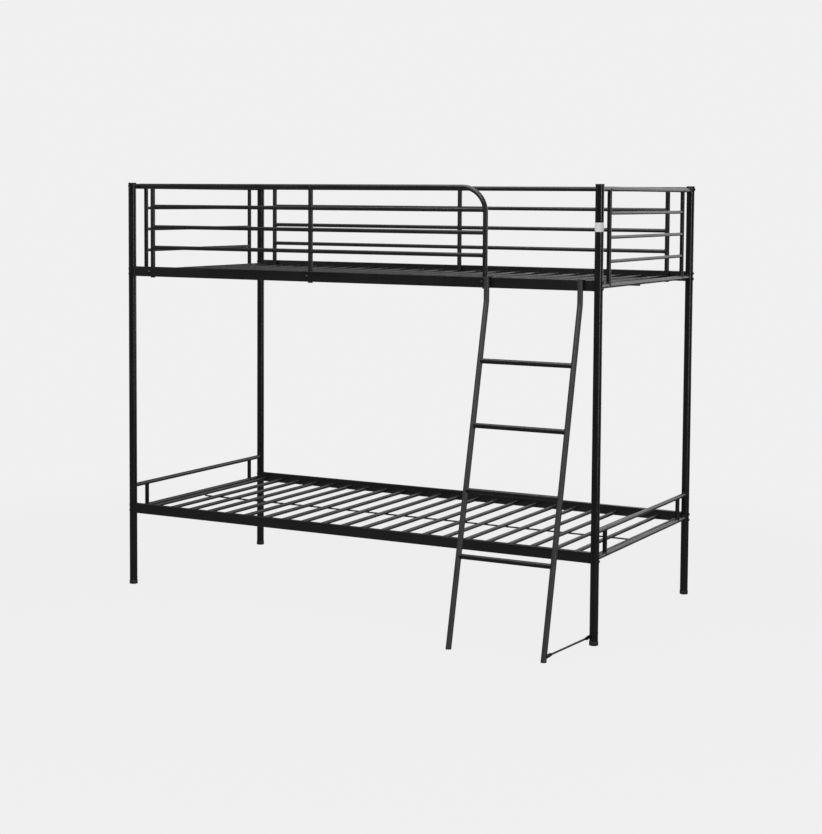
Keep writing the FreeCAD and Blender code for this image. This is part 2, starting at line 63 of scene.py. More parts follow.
def noise_node(tree, place, per_metre, detail=2.0, roughness=0.5):
    """Noise in object space; per_metre is a number or a socket."""
    node = tree.nodes.new("ShaderNodeTexNoise")
    node.inputs["Detail"].default_value = detail
    node.inputs["Roughness"].default_value = roughness
    tree.links.new(place, node.inputs["Vector"])
    if isinstance(per_metre, float):
        node.inputs["Scale"].default_value = per_metre
    else:
        tree.links.new(per_metre, node.inputs["Scale"])
    return node.outputs["Fac"]


def math_node(tree, operation, first, second):
    """One sum of two numbers or sockets."""
    node = tree.nodes.new("ShaderNodeMath")
    node.operation = operation
    for socket, value in zip(node.inputs, (first, second)):
        if isinstance(value, (int, float)):
            socket.default_value = value
        else:
            tree.links.new(value, socket)
    return node.outputs[0]


def ramp_node(tree, value, low, high, to_low, to_high):
    """Smooth step of a value from one range to another."""
    node = tree.nodes.new("ShaderNodeMapRange")
    node.interpolation_type = "SMOOTHSTEP"
    tree.links.new(value, node.inputs["Value"])
    for name, number in (("From Min", low), ("From Max", high), ("To Min", to_low), ("To Max", to_high)):
        if isinstance(number, (int, float)):
            node.inputs[name].default_value = number
        else:
            tree.links.new(number, node.inputs[name])
    return node.outputs["Result"]


def blend_colours(tree, amount, first, second):
    """Mix two colours or colour sockets."""
    node = tree.nodes.new("ShaderNodeMix")
    node.data_type = "RGBA"
    tree.links.new(amount, node.inputs["Factor"])
    for socket, value in ((node.inputs["A"], first), (node.inputs["B"], second)):
        if isinstance(value, tuple):
            socket.default_value = value
        else:
            tree.links.new(value, socket)
    return node.outputs["Result"]


def build_coat_skin():
    """Shared effect: colour, roughness and height of a sprayed or moulded black skin."""
    dust_dulls = 0.6
    grain_height = 0.25
    group = bpy.data.node_groups.new("coat_skin", "ShaderNodeTree")
    named_value(group, "Colour", "Color", (0.006, 0.006, 0.0065, 1))
    named_value(group, "Pale colour", "Color", (0.018, 0.018, 0.019, 1))
    named_value(group, "Dust colour", "Color", (0.22, 0.21, 0.2, 1))
    named_value(group, "Peel per metre", "Float", 420.0)
    named_value(group, "Grain per metre", "Float", 2600.0)
    named_value(group, "Patch per metre", "Float", 9.0)
    named_value(group, "Glossy", "Float", 0.22)
    named_value(group, "Dull", "Float", 0.31)
    named_value(group, "Dust", "Float", 0.15)
    for name, kind in (("Colour", "Color"), ("Roughness", "Float"), ("Height", "Float")):
        group.interface.new_socket(name, in_out="OUTPUT", socket_type="NodeSocket" + kind)
    given = group.nodes.new("NodeGroupInput").outputs
    result = group.nodes.new("NodeGroupOutput").inputs
    place = group.nodes.new("ShaderNodeTexCoord").outputs["Object"]
    peel = noise_node(group, place, given["Peel per metre"])
    grain = noise_node(group, place, given["Grain per metre"], 1.0)
    patch = noise_node(group, place, given["Patch per metre"], 3.0, 0.6)
    specks = ramp_node(group, grain, 0.5, 0.72, 0.0, 0.7)
    tone = math_node(group, "ADD", specks, ramp_node(group, patch, 0.35, 0.7, 0.0, 0.3))
    coat = blend_colours(group, tone, given["Colour"], given["Pale colour"])
    facing = group.nodes.new("ShaderNodeSeparateXYZ")
    group.links.new(group.nodes.new("ShaderNodeNewGeometry").outputs["Normal"], facing.inputs[0])
    settled = ramp_node(group, facing.outputs["Z"], 0.35, 0.95, 0.0, given["Dust"])
    dust = math_node(group, "MULTIPLY", settled, ramp_node(group, grain, 0.35, 0.65, 0.3, 1.0))
    dusty = blend_colours(group, dust, coat, given["Dust colour"])
    sheen = ramp_node(group, patch, 0.3, 0.7, given["Glossy"], given["Dull"])
    roughness = math_node(group, "ADD", sheen, math_node(group, "MULTIPLY", dust, dust_dulls))
    height = math_node(group, "ADD", peel, math_node(group, "MULTIPLY", grain, grain_height))
    link_in_order(group, (dusty, result["Colour"]), (roughness, result["Roughness"]),
                  (height, result["Height"]))
    return group


coat_skin = build_coat_skin()


def skin_material(name, skin_values, bump_distance, metallic=0.0, specular=0.5):
    """Material whose colour, roughness and bump come from the shared skin, with its own values."""
    material = bpy.data.materials.new(name)
    material.use_nodes = True
    tree = material.node_tree
    shader = tree.nodes["Principled BSDF"]
    skin = tree.nodes.new("ShaderNodeGroup")
    skin.node_tree = coat_skin
    for label, value in skin_values.items():
        skin.inputs[label].default_value = value
    bump = tree.nodes.new("ShaderNodeBump")
    bump.inputs["Distance"].default_value = bump_distance
    bump.inputs["Strength"].default_value = 1.0
    link_in_order(tree, (skin.outputs["Height"], bump.inputs["Height"]),
                  (bump.outputs["Normal"], shader.inputs["Normal"]),
                  (skin.outputs["Colour"], shader.inputs["Base Color"]),
                  (skin.outputs["Roughness"], shader.inputs["Roughness"]))
    shader.inputs["Metallic"].default_value = metallic
    shader.inputs["Specular IOR Level"].default_value = specular
    return material


def finish_node(name, material):
    """Give a carried-over node its material in every slot."""
    mesh = nodes[name].data
    mesh.materials.clear()
    mesh.materials.append(material)


peel_depth = 0.00009
powder_coat = skin_material("powder_coat", {}, peel_depth)


# --- Weld beads ------------------------------------------------------------------------------------
# Every tube is MIG welded where it meets its neighbour. The bead runs round the smaller tube, sits
# in the corner between the two, and its ripples still show under the powder coat.

bead_size = 0.0017
bead_steps = 28
bead_sides = 8
ripples_per_metre = 520.0
flat_seat = 10.0


def geometry_tree(name, values):
    """Empty Geometry Nodes tree with named inputs; returns the tree, its input and output sockets."""
    tree = bpy.data.node_groups.new(name, "GeometryNodeTree")
    tree.is_modifier = True
    tree.interface.new_socket("Geometry", in_out="INPUT", socket_type="NodeSocketGeometry")
    for label, kind, default in values:
        socket = tree.interface.new_socket(label, in_out="INPUT", socket_type="NodeSocket" + kind)
        if default is not None:
            socket.default_value = default
    tree.interface.new_socket("Geometry", in_out="OUTPUT", socket_type="NodeSocketGeometry")
    given = tree.nodes.new("NodeGroupInput").outputs
    result = tree.nodes.new("NodeGroupOutput").inputs
    return tree, given, result


def end_tree(tree, geometry, material, result):
    """Smooth shading, Realize Instances and Set Material close every tree."""
    smooth = tree.nodes.new("GeometryNodeSetShadeSmooth")
    real = tree.nodes.new("GeometryNodeRealizeInstances")
    paint = tree.nodes.new("GeometryNodeSetMaterial")
    link_in_order(tree, (geometry, smooth.inputs["Geometry"]),
                  (smooth.outputs["Geometry"], real.inputs["Geometry"]),
                  (real.outputs["Geometry"], paint.inputs["Geometry"]),
                  (material, paint.inputs["Material"]),
                  (paint.outputs["Geometry"], result["Geometry"]))


def turned_points(tree, given, piece):
    """Put a piece on every point of the incoming mesh, turned by the point's own 'turn'."""
    turn = tree.nodes.new("GeometryNodeInputNamedAttribute")
    turn.data_type = "FLOAT_VECTOR"
    turn.inputs["Name"].default_value = "turn"
    rotation = tree.nodes.new("FunctionNodeEulerToRotation")
    placed = tree.nodes.new("GeometryNodeInstanceOnPoints")
    link_in_order(tree, (turn.outputs["Attribute"], rotation.inputs["Euler"]),
                  (given["Geometry"], placed.inputs["Points"]),
                  (piece, placed.inputs["Instance"]),
                  (rotation.outputs["Rotation"], placed.inputs["Rotation"]))
    return placed.outputs["Instances"]


def build_bead_tree():
    """Ring of weld round a small tube, bent to the side of the larger tube that it meets."""
    tree, given, result = geometry_tree("weld_beads", (
        ("Tube radius", "Float", 0.008), ("Seat radius", "Float", 0.015),
        ("Bead radius", "Float", bead_size), ("Ripple", "Float", 0.0004), ("Material", "Material", None)))
    ring = tree.nodes.new("GeometryNodeCurvePrimitiveCircle")
    ring.inputs["Resolution"].default_value = bead_steps
    tree.links.new(given["Tube radius"], ring.inputs["Radius"])
    place = tree.nodes.new("ShaderNodeSeparateXYZ")
    tree.links.new(tree.nodes.new("GeometryNodeInputPosition").outputs[0], place.inputs[0])
    across = math_node(tree, "MULTIPLY", place.outputs["X"], place.outputs["X"])
    seat = math_node(tree, "MULTIPLY", given["Seat radius"], given["Seat radius"])
    remainder = math_node(tree, "MAXIMUM", math_node(tree, "SUBTRACT", seat, across), 0.0)
    drop = math_node(tree, "SUBTRACT", math_node(tree, "SQRT", remainder, 0.0), given["Seat radius"])
    lower = tree.nodes.new("ShaderNodeCombineXYZ")
    bent = tree.nodes.new("GeometryNodeSetPosition")
    link_in_order(tree, (ring.outputs["Curve"], bent.inputs["Geometry"]),
                  (drop, lower.inputs["Z"]), (lower.outputs[0], bent.inputs["Offset"]))
    profile = tree.nodes.new("GeometryNodeCurvePrimitiveCircle")
    profile.inputs["Resolution"].default_value = bead_sides
    tree.links.new(given["Bead radius"], profile.inputs["Radius"])
    bead = tree.nodes.new("GeometryNodeCurveToMesh")
    link_in_order(tree, (bent.outputs["Geometry"], bead.inputs["Curve"]),
                  (profile.outputs["Curve"], bead.inputs["Profile Curve"]))
    beads = tree.nodes.new("GeometryNodeRealizeInstances")
    tree.links.new(turned_points(tree, given, bead.outputs["Mesh"]), beads.inputs["Geometry"])
    where = tree.nodes.new("GeometryNodeInputPosition").outputs[0]
    wave = math_node(tree, "SUBTRACT", noise_node(tree, where, ripples_per_metre, 1.0), 0.5)
    outward = tree.nodes.new("ShaderNodeVectorMath")
    outward.operation = "SCALE"
    uneven = tree.nodes.new("GeometryNodeSetPosition")
    link_in_order(tree, (tree.nodes.new("GeometryNodeInputNormal").outputs[0], outward.inputs[0]),
                  (math_node(tree, "MULTIPLY", wave, given["Ripple"]), outward.inputs["Scale"]),
                  (beads.outputs["Geometry"], uneven.inputs["Geometry"]),
                  (outward.outputs["Vector"], uneven.inputs["Offset"]))
    end_tree(tree, uneven.outputs["Geometry"], given["Material"], result)
    return tree


bead_tree = build_bead_tree()


def scene_object(name, data):
    """Object of a mesh, lamp or camera, linked to the scene."""
    made = bpy.data.objects.new(name, data)
    bpy.context.scene.collection.objects.link(made)
    return made


def points_object(name, spots):
    """Mesh of bare points, each with its turn: spots are (place, outward, along the larger tube)."""
    mesh = bpy.data.meshes.new(name)
    mesh.from_pydata([place for place, outward, along in spots], [], [])
    turn = mesh.attributes.new("turn", "FLOAT_VECTOR", "POINT")
    for index, (place, outward, along) in enumerate(spots):
        z_side = Vector(outward).normalized()
        y_side = Vector(along).normalized()
        x_side = y_side.cross(z_side)
        matrix = Matrix((x_side, y_side, z_side)).transposed()
        turn.data[index].vector = tuple(matrix.to_euler())
    return scene_object(name, mesh)


def settled_mesh(piece):
    """What a piece's modifiers make of it, as a plain mesh."""
    return bpy.data.meshes.new_from_object(piece.evaluated_get(bpy.context.evaluated_depsgraph_get()))


def grow(piece, tree, values):
    """Run a tree on a piece with its named inputs, and keep the result as a plain mesh."""
    modifier = piece.modifiers.new(tree.name, "NODES")
    modifier.node_group = tree
    for socket in tree.interface.items_tree:
        if socket.in_out == "INPUT" and socket.name in values:
            modifier[socket.identifier] = values[socket.name]
    made = settled_mesh(piece)
    piece.modifiers.clear()
    piece.data = made
    return piece


def weld(name, spots, tube_radius, seat_radius, body="bed", bead=bead_size):
    """Beads of one size of joint, riding with their body; flat_seat stands for a flat face."""
    piece = points_object(name, spots)
    grow(piece, bead_tree, {"Tube radius": tube_radius, "Seat radius": seat_radius, "Bead radius": bead,
                            "Material": powder_coat})
    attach(piece, body)


# --- Posts -----------------------------------------------------------------------------------------
# Four round steel tubes stand at the corners and carry everything else. They are cut to length,
# drilled right through for the rail bolts, and powder coated with the end frames welded to them.

fine_peel_depth = 0.00006
post_coat = skin_material("powder_coat_posts", {
    "Colour": (0.004, 0.004, 0.0045, 1), "Pale colour": (0.012, 0.012, 0.013, 1), "Patch per metre": 5.0,
    "Dust": 0.0, "Glossy": 0.19, "Dull": 0.27}, fine_peel_depth)
post_axes = {}
for depth in ("front", "rear"):
    for side in ("left", "right"):
        post = f"post_{depth}_{side}"
        finish_node(post, post_coat)
        low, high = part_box(post)
        post_axes[depth, side] = (low + high) / 2
post_low, post_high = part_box("post_front_left")
post_radius = (post_high.x - post_low.x) / 2


# --- Post caps and feet ----------------------------------------------------------------------------
# Polypropylene plugs close the tops and cups close the feet. Both are injection moulded: the plug
# has a shallow dish with the gate mark in its middle, the cup a raised band round its mouth.

cap_plastic = skin_material("cap_plastic", {
    "Colour": (0.014, 0.014, 0.015, 1), "Pale colour": (0.028, 0.028, 0.03, 1), "Peel per metre": 900.0,
    "Glossy": 0.4, "Dull": 0.5, "Dust": 0.12}, fine_peel_depth)
foot_plastic = skin_material("foot_plastic", {
    "Colour": (0.02, 0.02, 0.021, 1), "Pale colour": (0.05, 0.05, 0.052, 1), "Peel per metre": 700.0,
    "Glossy": 0.45, "Dull": 0.58, "Dust": 0.2}, 0.00007)


def build_place_tree():
    """A finished piece on every point of the incoming mesh."""
    tree, given, result = geometry_tree("pieces_on_posts", (
        ("Piece", "Object", None), ("Material", "Material", None)))
    source = tree.nodes.new("GeometryNodeObjectInfo")
    source.inputs["As Instance"].default_value = True
    tree.links.new(given["Piece"], source.inputs["Object"])
    placed = turned_points(tree, given, source.outputs["Geometry"])
    end_tree(tree, placed, given["Material"], result)
    return tree


place_tree = build_place_tree()


def mesh_from(name, shape):
    """Mesh of a bmesh, which is freed."""
    mesh = bpy.data.meshes.new(name)
    shape.to_mesh(mesh)
    shape.free()
    return mesh


def turned_piece(name, outline, steps=40):
    """Solid of revolution about Z; the outline is (radius, height) pairs from axis to axis."""
    shape = bmesh.new()
    rings = []
    for radius, height in outline:
        if radius == 0:
            rings.append([shape.verts.new((0, 0, height))])
            continue
        angles = [2 * math.pi * step / steps for step in range(steps)]
        rings.append([shape.verts.new((radius * math.cos(angle), radius * math.sin(angle), height))
                      for angle in angles])
    for lower, upper in zip(rings, rings[1:]):
        for step in range(steps):
            corner = [ring[step % len(ring)] for ring in (lower, upper)]
            following = [ring[(step + 1) % len(ring)] for ring in (lower, upper)]
            face = [corner[0], following[0], following[1], corner[1]]
            shape.faces.new(list(dict.fromkeys(face)))
    bmesh.ops.recalc_face_normals(shape, faces=shape.faces)
    return bpy.data.objects.new(name, mesh_from(name, shape))


def on_posts(name, node, outline, material):
    """One turned piece on each post, at the height of the node that it replaces."""
    master = turned_piece(name + "_master", outline)
    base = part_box(node)[0].z
    spots = [((axis.x, axis.y, base), (0, 0, 1), (0, 1, 0)) for axis in post_axes.values()]
    piece = grow(points_object(name, spots), place_tree, {"Piece": master, "Material": material})
    bpy.data.objects.remove(master)
    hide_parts(node)
    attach(piece, "bed")


cap_low, cap_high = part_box("post_top_caps")
cap_height = cap_high.z - cap_low.z
cap_radius = cap_high.x - post_axes["front", "right"].x
plug_height = cap_height - (cap_high.z - post_high.z)
post_wall = 0.0016
plug_radius = post_radius - post_wall
rim_edge = 0.0004
plug_outline = [(0, 0), (plug_radius - 0.0005, 0), (plug_radius, 0.0006), (plug_radius, plug_height),
                (cap_radius - rim_edge, plug_height), (cap_radius, plug_height + rim_edge)]
# The crown as (inset from the rim, drop from the top), then the gate mark as (radius, drop).
crown = ((0, 0.0018), (0.0004, 0.0009), (0.0014, 0.0002), (0.0028, 0), (0.0048, 0.0002), (0.0062, 0.0009))
gate_mark = ((0.003, 0.0011), (0.002, 0.0004), (0.001, 0.0003), (0, 0.0003))
cap_outline = (plug_outline + [(cap_radius - inset, cap_height - drop) for inset, drop in crown]
               + [(radius, cap_height - drop) for radius, drop in gate_mark])
on_posts("top_caps", "post_top_caps", cap_outline, cap_plastic)

foot_low, foot_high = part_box("post_foot_caps")
foot_height = foot_high.z - foot_low.z
foot_radius = foot_high.x - post_axes["front", "right"].x
foot_fit = 0.0001
foot_base = 0.004
foot_bore = post_radius + foot_fit
# The sole as (inset, height) from its hollow middle out, then the band as (inset, drop from the mouth).
sole = ((0.006, 0.0012), (0.005, 0), (0.0016, 0), (0.0004, 0.0006), (0, 0.0018))
band = ((0.0002, 0.0044), (0, 0.0036), (0, 0.0008), (0.0005, 0.0002), (0.0009, 0))
foot_outline = ([(0, 0.0012)] + [(foot_radius - inset, height) for inset, height in sole]
                + [(foot_radius - inset, foot_height - drop) for inset, drop in band]
                + [(foot_bore, foot_height - rim_edge), (foot_bore, foot_base), (0, foot_base)])
on_posts("post_feet", "post_foot_caps", foot_outline, foot_plastic)


# --- Side rails ------------------------------------------------------------------------------------
# Two rails carry each bed: rectangular tube, roll formed, so its corners are round. A pressed saddle
# closes each end and seats on the post, and two bolts through the post pull it tight.

rail_coat = skin_material("powder_coat_rails", {
    "Colour": (0.008, 0.008, 0.0085, 1), "Patch per metre": 4.0, "Dust": 0.1},
    peel_depth)
rail_corner = 0.0026
rail_corner_steps = 5


def formed_rail(name, node):
    """Rectangular tube with rolled corners, from end to end of the node that it replaces."""
    low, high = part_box(node)
    shape = bmesh.new()
    outline = []
    corners = ((high.y, high.z, 0), (low.y, high.z, 90), (low.y, low.z, 180), (high.y, low.z, 270))
    for y, z, start in corners:
        centre_y = y - math.copysign(rail_corner, y - (low.y + high.y) / 2)
        centre_z = z - math.copysign(rail_corner, z - (low.z + high.z) / 2)
        for step in range(rail_corner_steps + 1):
            angle = math.radians(start + 90 * step / rail_corner_steps)
            outline.append((centre_y + rail_corner * math.cos(angle),
                            centre_z + rail_corner * math.sin(angle)))
    ends = [[shape.verts.new((x, y, z)) for y, z in outline] for x in (low.x, high.x)]
    count = len(outline)
    for step in range(count):
        onward = (step + 1) % count
        side = shape.faces.new((ends[0][step], ends[0][onward], ends[1][onward], ends[1][step]))
        side.smooth = True
    for end in ends:
        shape.faces.new(end)
    bmesh.ops.recalc_face_normals(shape, faces=shape.faces)
    for edge in shape.edges:
        if abs(edge.verts[0].co.x - edge.verts[1].co.x) < rail_corner:
            edge.smooth = False
    mesh = mesh_from(name, shape)
    mesh.materials.append(rail_coat)
    piece = scene_object(name, mesh)
    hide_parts(node)
    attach(piece, "bed")


for level in ("lower", "upper"):
    for depth in ("front", "rear"):
        formed_rail(f"formed_{level}_{depth}_rail", f"{level}_{depth}_rail")
finish_node("rail_end_saddles", rail_coat)


# --- Slats and centre rods -------------------------------------------------------------------------
# 23 thin round tubes lie across each bed and are welded to the inner faces of the side rails. A rod
# runs under their middle and is tacked to every one of them.

slat_coat = skin_material("powder_coat_slats", {
    "Pale colour": (0.035, 0.035, 0.037, 1), "Dust": 0.22, "Glossy": 0.3, "Dull": 0.44}, 0.0001)
slat_count = 23
slat_radius = 0.007
slat_bead = 0.0014
tack_bead = 0.0013
tack_radius = 0.0008
tack_offset = 0.003
# The two upper slats that give way to the guards' uprights stop short of the rail there.
short_slats = {"lower": (), "upper": ((9, -1), (11, 1))}
for level in ("lower", "upper"):
    finish_node(f"{level}_slats", slat_coat)
    finish_node(f"{level}_centre_rod", slat_coat)
    slats_low, slats_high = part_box(f"{level}_slats")
    rod_low, rod_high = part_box(f"{level}_centre_rod")
    slat_z = slats_high.z - slat_radius
    first_x = slats_low.x + slat_radius
    pitch = (slats_high.x - slats_low.x - 2 * slat_radius) / (slat_count - 1)
    seats = []
    for index in range(slat_count):
        for direction, y in ((-1, slats_low.y), (1, slats_high.y)):
            if (index, direction) not in short_slats[level]:
                seats.append(((first_x + index * pitch, y, slat_z), (0, -direction, 0), (0, 0, 1)))
    weld(f"{level}_slat_welds", seats, slat_radius, flat_seat, bead=slat_bead)
    tacks = []
    rod_y = (rod_low.y + rod_high.y) / 2
    for index in range(slat_count):
        for sideways in (-1, 1):
            place = (first_x + index * pitch, rod_y + sideways * tack_offset, rod_high.z)
            tacks.append((place, (0, 0, 1), (0, 1, 0)))
    weld(f"{level}_rod_tacks", tacks, tack_radius, flat_seat, bead=tack_bead)


# --- Fasteners -------------------------------------------------------------------------------------
# M6 dome-head bolts with a hexagon socket go through the posts and rails into plain hexagon nuts.
# They are zinc plated and blackened, so they shine more than the coat round them.

fastener_black = skin_material("black_zinc", {
    "Colour": (0.03, 0.03, 0.032, 1), "Pale colour": (0.07, 0.07, 0.072, 1), "Peel per metre": 1500.0,
    "Patch per metre": 160.0, "Glossy": 0.24, "Dull": 0.4, "Dust": 0.0}, 0.00003, metallic=0.6)
for name in ("rail_bolts", "rail_nuts", "guard_bolts", "guard_nuts", "tie_bar_foot_bolt",
             "tie_bar_foot_nut", "tie_bar_post_bolt"):
    finish_node(name, fastener_black)


# --- End frames ------------------------------------------------------------------------------------
# At each end four cross tubes are coped to the posts and welded. A low guard with two struts keeps
# the lower mattress in, and two uprights with three bars do the same above.

cross_radius = 0.008
strut_radius = 0.008
end_bar_radius = 0.006
end_tubes = ("lower_end_tube", "low_guard_tube", "upper_end_tube", "end_top_tube")
post_welds = []
strut_welds = []
upright_welds = []
bar_welds = []
for side in ("left", "right"):
    for part in end_tubes + ("low_guard_struts", "end_uprights", "end_bars"):
        finish_node(f"{side}_{part}", powder_coat)
    x = post_axes["front", side].x
    heights = {}
    for part in end_tubes:
        low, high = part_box(f"{side}_{part}")
        heights[part] = (low.z + high.z) / 2
        for depth, inward in (("front", 1), ("rear", -1)):
            y = post_axes[depth, side].y + inward * post_radius
            post_welds.append(((x, y, heights[part]), (0, inward, 0), (0, 0, 1)))
    for part, radius, below, above, welds in (
            ("low_guard_struts", strut_radius, "lower_end_tube", "low_guard_tube", strut_welds),
            ("end_uprights", cross_radius, "upper_end_tube", "end_top_tube", upright_welds)):
        low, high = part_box(f"{side}_{part}")
        for y in (low.y + radius, high.y - radius):
            welds.append(((x, y, heights[below] + cross_radius), (0, 0, 1), (0, 1, 0)))
            welds.append(((x, y, heights[above] - cross_radius), (0, 0, -1), (0, 1, 0)))
    bars_low, bars_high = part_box(f"{side}_end_bars")
    uprights_low, uprights_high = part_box(f"{side}_end_uprights")
    bar_middle = (bars_low.z + bars_high.z) / 2
    for z in (bars_low.z + end_bar_radius, bar_middle, bars_high.z - end_bar_radius):
        bar_welds.append(((x, uprights_low.y + 2 * cross_radius, z), (0, 1, 0), (0, 0, 1)))
        bar_welds.append(((x, uprights_high.y - 2 * cross_radius, z), (0, -1, 0), (0, 0, 1)))
weld("end_post_welds", post_welds, cross_radius, post_radius)
weld("strut_welds", strut_welds, strut_radius, cross_radius)
weld("end_upright_welds", upright_welds, cross_radius, cross_radius)
weld("end_bar_welds", bar_welds, end_bar_radius, cross_radius)


# --- Side guards -----------------------------------------------------------------------------------
# The front guard's top rail bends down beside the ladder; the rear one runs from post to post. Their
# uprights pass down inside the upper rails and are bolted to them, and three bars fill each bay.

guard_coat = skin_material("powder_coat_guards", {
    "Colour": (0.011, 0.011, 0.012, 1), "Pale colour": (0.03, 0.03, 0.032, 1), "Patch per metre": 6.0,
    "Dust": 0.32}, peel_depth)
guard_radius = 0.009
guard_bar_radius = 0.0075
for part in ("front_guard_rail", "front_guard_uprights", "front_guard_bars", "rear_guard_rail",
             "rear_guard_uprights", "rear_guard_bars", "guard_end_tabs"):
    finish_node(part, guard_coat)
guard_bar_welds = []
guard_top_welds = []
for depth in ("front", "rear"):
    rail_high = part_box(f"{depth}_guard_rail")[1]
    bars_low, bars_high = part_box(f"{depth}_guard_bars")
    uprights_low, uprights_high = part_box(f"{depth}_guard_uprights")
    y = (bars_low.y + bars_high.y) / 2
    rail_z = rail_high.z - guard_radius
    first = uprights_low.x + guard_radius
    if depth == "front":
        columns = (first, uprights_high.x - guard_radius, rail_high.x - guard_radius)
    else:
        columns = (first, (uprights_low.x + uprights_high.x) / 2, uprights_high.x - guard_radius)
    bar_middle = (bars_low.z + bars_high.z) / 2
    for z in (bars_low.z + guard_bar_radius, bar_middle, bars_high.z - guard_bar_radius):
        for left, right in zip(columns, columns[1:]):
            guard_bar_welds.append(((left + guard_radius, y, z), (1, 0, 0), (0, 0, 1)))
            guard_bar_welds.append(((right - guard_radius, y, z), (-1, 0, 0), (0, 0, 1)))
    for column in columns[:2] if depth == "front" else columns:
        guard_top_welds.append(((column, y, rail_z - guard_radius), (0, 0, -1), (1, 0, 0)))
weld("guard_bar_welds", guard_bar_welds, guard_bar_radius, guard_radius)
weld("guard_upright_welds", guard_top_welds, guard_radius, guard_radius)


# --- Ladder ----------------------------------------------------------------------------------------
# Two stiles bend upright under the upper rail and end in straps that hook over it. Four rungs are
# welded between them. The stiles get a lighter grey copy of the black coat: painted light that stands
# in for the light they catch, not a greyer paint.

# Painted light: this lighter grey copy of the black coat stands in for the light on the stiles.
ladder_lit_coat = skin_material("powder_coat_ladder_lit", {
    "Colour": (0.042, 0.041, 0.042, 1), "Pale colour": (0.075, 0.074, 0.076, 1), "Dust": 0.1,
    "Glossy": 0.34, "Dull": 0.46}, peel_depth)
rung_radius = 0.009
stile_radius = 0.010
for part in ("ladder_left_stile", "ladder_right_stile"):
    finish_node(part, ladder_lit_coat)
for part in ("ladder_rungs", "ladder_hooks"):
    finish_node(part, powder_coat)
finish_node("ladder_top_caps", cap_plastic)
finish_node("ladder_feet", foot_plastic)
rungs_low, rungs_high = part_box("ladder_rungs")
left_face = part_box("ladder_left_stile")[1].x
right_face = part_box("ladder_right_stile")[0].x
climb = rungs_high.z - rungs_low.z - 2 * rung_radius
slope = (rungs_high.y - rungs_low.y - 2 * rung_radius) / climb
rung_count = 4
rung_welds = []
for index in range(rung_count):
    rise = climb * index / (rung_count - 1)
    z = rungs_low.z + rung_radius + rise
    y = rungs_low.y + rung_radius + slope * rise
    rung_welds.append(((left_face, y, z), (1, 0, 0), (0, slope, 1)))
    rung_welds.append(((right_face, y, z), (-1, 0, 0), (0, slope, 1)))
weld("rung_welds", rung_welds, rung_radius, stile_radius, body="ladder")


# --- Tie bar ---------------------------------------------------------------------------------------
# A round rod ties the ladder's foot to the post. Both ends are pressed flat in a die, so the rod
# swells into them; one end has an eye for the foot bolt, the other a slot that hangs on the post bolt.

tie_radius = 0.0035
pressed_half_width = 0.007
pressed_half_thickness = 0.0015
pressed_length = 0.017
swell_length = 0.019
swell_steps = 6
pressed_squareness = 5.0
round_squareness = 2.0
eye_radius = 0.0033
cut_depth = 0.02
tie_section_steps = 24


def pressed_section(centre, across, half_thickness, half_width, squareness):
    """Closed outline round a point of the rod: round for squareness 2, flatter-sided above."""
    outline = []
    for step in range(tie_section_steps):
        angle = 2 * math.pi * step / tie_section_steps
        thick, wide = math.cos(angle), math.sin(angle)
        x = math.copysign(abs(thick) ** (2 / squareness), thick) * half_thickness
        out = math.copysign(abs(wide) ** (2 / squareness), wide) * half_width
        outline.append(centre + Vector((x, 0, 0)) + across * out)
    return outline


def end_stations():
    """Stations from the tip of a pressed end to the plain rod: distance, thickness, width, squareness."""
    stations = []
    for degrees in (12, 30, 50, 70, 90):
        angle = math.radians(degrees)
        stations.append((-pressed_half_width * math.cos(angle), pressed_half_thickness,
                         pressed_half_width * math.sin(angle), pressed_squareness))
    for step in range(swell_steps + 1):
        share = step / swell_steps
        ease = share * share * (3 - 2 * share)
        stations.append((pressed_length + swell_length * share,
                         pressed_half_thickness + (tie_radius - pressed_half_thickness) * ease,
                         pressed_half_width + (tie_radius - pressed_half_width) * ease,
                         pressed_squareness + (round_squareness - pressed_squareness) * ease))
    return stations


def slot_cutters(eye, slot):
    """Cutters through both pressed ends: the round eyes, and the mouth that opens the slot downwards."""
    eyes = bmesh.new()
    through = Matrix.Rotation(math.pi / 2, 4, "Y")
    for place in (eye, slot):
        bmesh.ops.create_cone(eyes, cap_ends=True, segments=32, radius1=eye_radius, radius2=eye_radius,
                              depth=cut_depth, matrix=Matrix.Translation(place) @ through)
    mouth = bmesh.new()
    size = Matrix.Diagonal((cut_depth, 2 * eye_radius, 2 * pressed_half_width, 1))
    below_slot = Matrix.Translation(slot - Vector((0, 0, pressed_half_width)))
    bmesh.ops.create_cube(mouth, size=1.0, matrix=below_slot @ size)
    return [scene_object("eyes", mesh_from("eyes", eyes)), scene_object("mouth", mesh_from("mouth", mouth))]


tie_low, tie_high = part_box("tie_bar")
eye = Vector((tie_low.x + tie_radius, tie_low.y + pressed_half_width, tie_low.z + pressed_half_width))
slot = Vector((tie_high.x - tie_radius, tie_high.y - pressed_half_width, tie_high.z - pressed_half_width))
run = Vector((0, slot.y - eye.y, slot.z - eye.z))
tie_length = run.length
run.normalize()
across = Vector((1, 0, 0)).cross(run)
stations = end_stations()
stations += [(tie_length - distance, thick, wide, square)
             for distance, thick, wide, square in reversed(stations)]
tie_shape = bmesh.new()
tie_rings = []
for distance, thick, wide, square in stations:
    lean = min(1.0, max(0.0, (distance - pressed_length) / (tie_length - 2 * pressed_length)))
    centre = eye + run * distance + Vector(((slot.x - eye.x) * lean, 0, 0))
    section = pressed_section(centre, across, thick, wide, square)
    tie_rings.append([tie_shape.verts.new(place) for place in section])
for near, far in zip(tie_rings, tie_rings[1:]):
    for step in range(tie_section_steps):
        onward = (step + 1) % tie_section_steps
        tie_shape.faces.new((near[step], near[onward], far[onward], far[step])).smooth = True
tie_shape.faces.new(tie_rings[0])
tie_shape.faces.new(tie_rings[-1])
